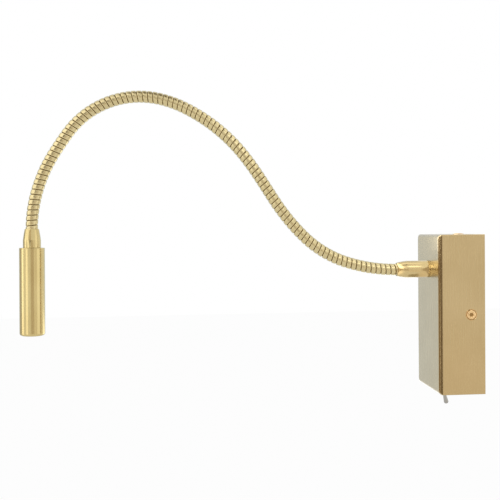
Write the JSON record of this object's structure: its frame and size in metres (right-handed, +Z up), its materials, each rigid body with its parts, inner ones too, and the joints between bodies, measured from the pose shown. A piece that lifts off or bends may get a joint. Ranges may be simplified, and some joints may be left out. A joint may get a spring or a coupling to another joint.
{
  "type": "bedside wall reading lamp",
  "caption": "Brass wall reading lamp: a driver box with a toggle switch, a flexible gooseneck arm and a slim LED spot head.",
  "frame": {"origin": "middle of the wall box on the wall plane, at the back face of the wall plate", "axes": "+Y into the wall, so the lamp stands out towards -Y; +Z up; +X along the wall, to the right of someone facing it"},
  "size_m": [0.0618, 0.3706, 0.2599],
  "materials": {
    "brushed_brass": "satin brass, fine brushing along the length",
    "polished_brass": "polished brass",
    "wound_brass": "satin brass-plated wound steel strip",
    "zinc_steel": "zinc-plated steel",
    "nickel": "bright nickel plate",
    "black_rubber": "matt black rubber",
    "white_plastic": "moulded white plastic",
    "dark_plastic": "moulded black plastic",
    "brown_wire": "brown wire insulation",
    "blue_wire": "blue wire insulation",
    "black_lead": "black lead sheath",
    "sink_aluminium": "turned aluminium",
    "white_board": "white-masked metal-core board",
    "yellow_phosphor": "yellow phosphor coating",
    "clear_lens": "clear moulded lens"
  },
  "bodies": {
    "wall_box": {"wall_plate": "zinc_steel", "cover": "brushed_brass", "cover_screws": "polished_brass", "cable_bush": "black_rubber", "led_driver": "white_plastic", "driver_screws": "zinc_steel", "terminal_block": "white_plastic", "terminal_clamps": "polished_brass", "clamp_screws": "zinc_steel", "terminal_block_screw": "zinc_steel", "earth_stud": "zinc_steel", "earth_washer": "zinc_steel", "earth_nut": "zinc_steel", "switch_body": "dark_plastic", "switch_bushing": "nickel", "switch_washer": "nickel", "switch_nut": "nickel", "switch_terminals": "nickel", "live_wire": "brown_wire", "switched_wire": "brown_wire", "neutral_wire": "blue_wire", "box_lead": "black_lead", "root_fitting": "zinc_steel", "root_washer": "zinc_steel", "root_nut": "polished_brass", "root_ferrule": "brushed_brass", "arm_link_01": "wound_brass"},
    "lever": {"switch_lever": "nickel"},
    "arm_02": {"arm_link_02": "wound_brass"},
    "arm_03": {"arm_link_03": "wound_brass"},
    "arm_04": {"arm_link_04": "wound_brass"},
    "arm_05": {"arm_link_05": "wound_brass"},
    "arm_06": {"arm_link_06": "wound_brass"},
    "arm_07": {"arm_link_07": "wound_brass"},
    "arm_08": {"arm_link_08": "wound_brass"},
    "arm_09": {"arm_link_09": "wound_brass"},
    "arm_10": {"arm_link_10": "wound_brass"},
    "arm_11": {"arm_link_11": "wound_brass"},
    "arm_12": {"arm_link_12": "wound_brass"},
    "arm_13": {"arm_link_13": "wound_brass"},
    "arm_14": {"arm_link_14": "wound_brass"},
    "arm_15": {"arm_link_15": "wound_brass"},
    "arm_16": {"arm_link_16": "wound_brass"},
    "arm_17": {"arm_link_17": "wound_brass"},
    "arm_18": {"arm_link_18": "wound_brass"},
    "arm_19": {"arm_link_19": "wound_brass"},
    "head": {"arm_link_20": "wound_brass", "head_ferrule": "brushed_brass", "head_fitting": "zinc_steel", "head_plug": "brushed_brass", "head_nut": "polished_brass", "head_barrel": "brushed_brass", "lens_seal": "black_rubber", "lens": "clear_lens", "led_emitter": "yellow_phosphor", "led_board": "white_board", "board_screws": "zinc_steel", "heat_sink": "sink_aluminium", "head_lead": "black_lead"}
  },
  "joints": [
    {"name": "bend_01", "type": "hinge", "parent": "wall_box", "child": "arm_02", "pos_m": [0, -0.08467, 0.03711], "axis": [-1, 0, 0], "range_deg": [-18, 18]},
    {"name": "sway_02", "type": "hinge", "parent": "arm_02", "child": "arm_03", "pos_m": [0, -0.10484, 0.04189], "axis": [0, 0.3057, 0.9521], "range_deg": [-18, 18]},
    {"name": "bend_03", "type": "hinge", "parent": "arm_03", "child": "arm_04", "pos_m": [0, -0.12369, 0.05045], "axis": [-1, 0, 0], "range_deg": [-18, 18]},
    {"name": "sway_04", "type": "hinge", "parent": "arm_04", "child": "arm_05", "pos_m": [0, -0.14009, 0.06308], "axis": [0, 0.6972, 0.7169], "range_deg": [-18, 18]},
    {"name": "bend_05", "type": "hinge", "parent": "arm_05", "child": "arm_06", "pos_m": [0, -0.15401, 0.07845], "axis": [-1, 0, 0], "range_deg": [-18, 18]},
    {"name": "sway_06", "type": "hinge", "parent": "arm_06", "child": "arm_07", "pos_m": [0, -0.16601, 0.09537], "axis": [0, 0.8462, 0.5329], "range_deg": [-18, 18]},
    {"name": "bend_07", "type": "hinge", "parent": "arm_07", "child": "arm_08", "pos_m": [0, -0.17711, 0.1129], "axis": [-1, 0, 0], "range_deg": [-18, 18]},
    {"name": "sway_08", "type": "hinge", "parent": "arm_08", "child": "arm_09", "pos_m": [0, -0.18907, 0.12985], "axis": [0, -0.7891, -0.6143], "range_deg": [-18, 18]},
    {"name": "bend_09", "type": "hinge", "parent": "arm_09", "child": "arm_10", "pos_m": [0, -0.20299, 0.14521], "axis": [1, 0, 0], "range_deg": [-18, 18]},
    {"name": "sway_10", "type": "hinge", "parent": "arm_10", "child": "arm_11", "pos_m": [0, -0.21906, 0.15831], "axis": [0, -0.5721, -0.8202], "range_deg": [-18, 18]},
    {"name": "bend_11", "type": "hinge", "parent": "arm_11", "child": "arm_12", "pos_m": [0, -0.2369, 0.16886], "axis": [1, 0, 0], "range_deg": [-18, 18]},
    {"name": "sway_12", "type": "hinge", "parent": "arm_12", "child": "arm_13", "pos_m": [0, -0.25639, 0.17584], "axis": [0, -0.2267, -0.974], "range_deg": [-18, 18]},
    {"name": "bend_13", "type": "hinge", "parent": "arm_13", "child": "arm_14", "pos_m": [0, -0.277, 0.17755], "axis": [1, 0, 0], "range_deg": [-18, 18]},
    {"name": "sway_14", "type": "hinge", "parent": "arm_14", "child": "arm_15", "pos_m": [0, -0.29723, 0.17327], "axis": [0, -0.3469, 0.9379], "range_deg": [-18, 18]},
    {"name": "bend_15", "type": "hinge", "parent": "arm_15", "child": "arm_16", "pos_m": [0, -0.31537, 0.16336], "axis": [-1, 0, 0], "range_deg": [-18, 18]},
    {"name": "sway_16", "type": "hinge", "parent": "arm_16", "child": "arm_17", "pos_m": [0, -0.3299, 0.14865], "axis": [0, -0.8059, 0.592], "range_deg": [-18, 18]},
    {"name": "bend_17", "type": "hinge", "parent": "arm_17", "child": "arm_18", "pos_m": [0, -0.3416, 0.13151], "axis": [-1, 0, 0], "range_deg": [-18, 18]},
    {"name": "sway_18", "type": "hinge", "parent": "arm_18", "child": "arm_19", "pos_m": [0, -0.35107, 0.11308], "axis": [0, -0.9265, 0.3762], "range_deg": [-18, 18]},
    {"name": "bend_19", "type": "hinge", "parent": "arm_19", "child": "head", "pos_m": [0, -0.35713, 0.09326], "axis": [-1, 0, 0], "range_deg": [-18, 18]},
    {"name": "switch_throw", "type": "hinge", "parent": "wall_box", "child": "lever", "pos_m": [0, -0.0244, -0.0668], "axis": [-1, 0, 0], "range_deg": [0, 25]}
  ],
  "couplings": [
    {"joint": "bend_03", "follows": "bend_01", "ratio": 1},
    {"joint": "bend_05", "follows": "bend_01", "ratio": 1},
    {"joint": "bend_07", "follows": "bend_01", "ratio": 1},
    {"joint": "bend_11", "follows": "bend_09", "ratio": 1},
    {"joint": "bend_13", "follows": "bend_09", "ratio": 1},
    {"joint": "bend_17", "follows": "bend_15", "ratio": 1},
    {"joint": "bend_19", "follows": "bend_15", "ratio": 1},
    {"joint": "sway_04", "follows": "sway_02", "ratio": 1},
    {"joint": "sway_06", "follows": "sway_02", "ratio": 1},
    {"joint": "sway_10", "follows": "sway_08", "ratio": 1},
    {"joint": "sway_12", "follows": "sway_08", "ratio": 1},
    {"joint": "sway_16", "follows": "sway_14", "ratio": 1},
    {"joint": "sway_18", "follows": "sway_14", "ratio": 1}
  ]
}
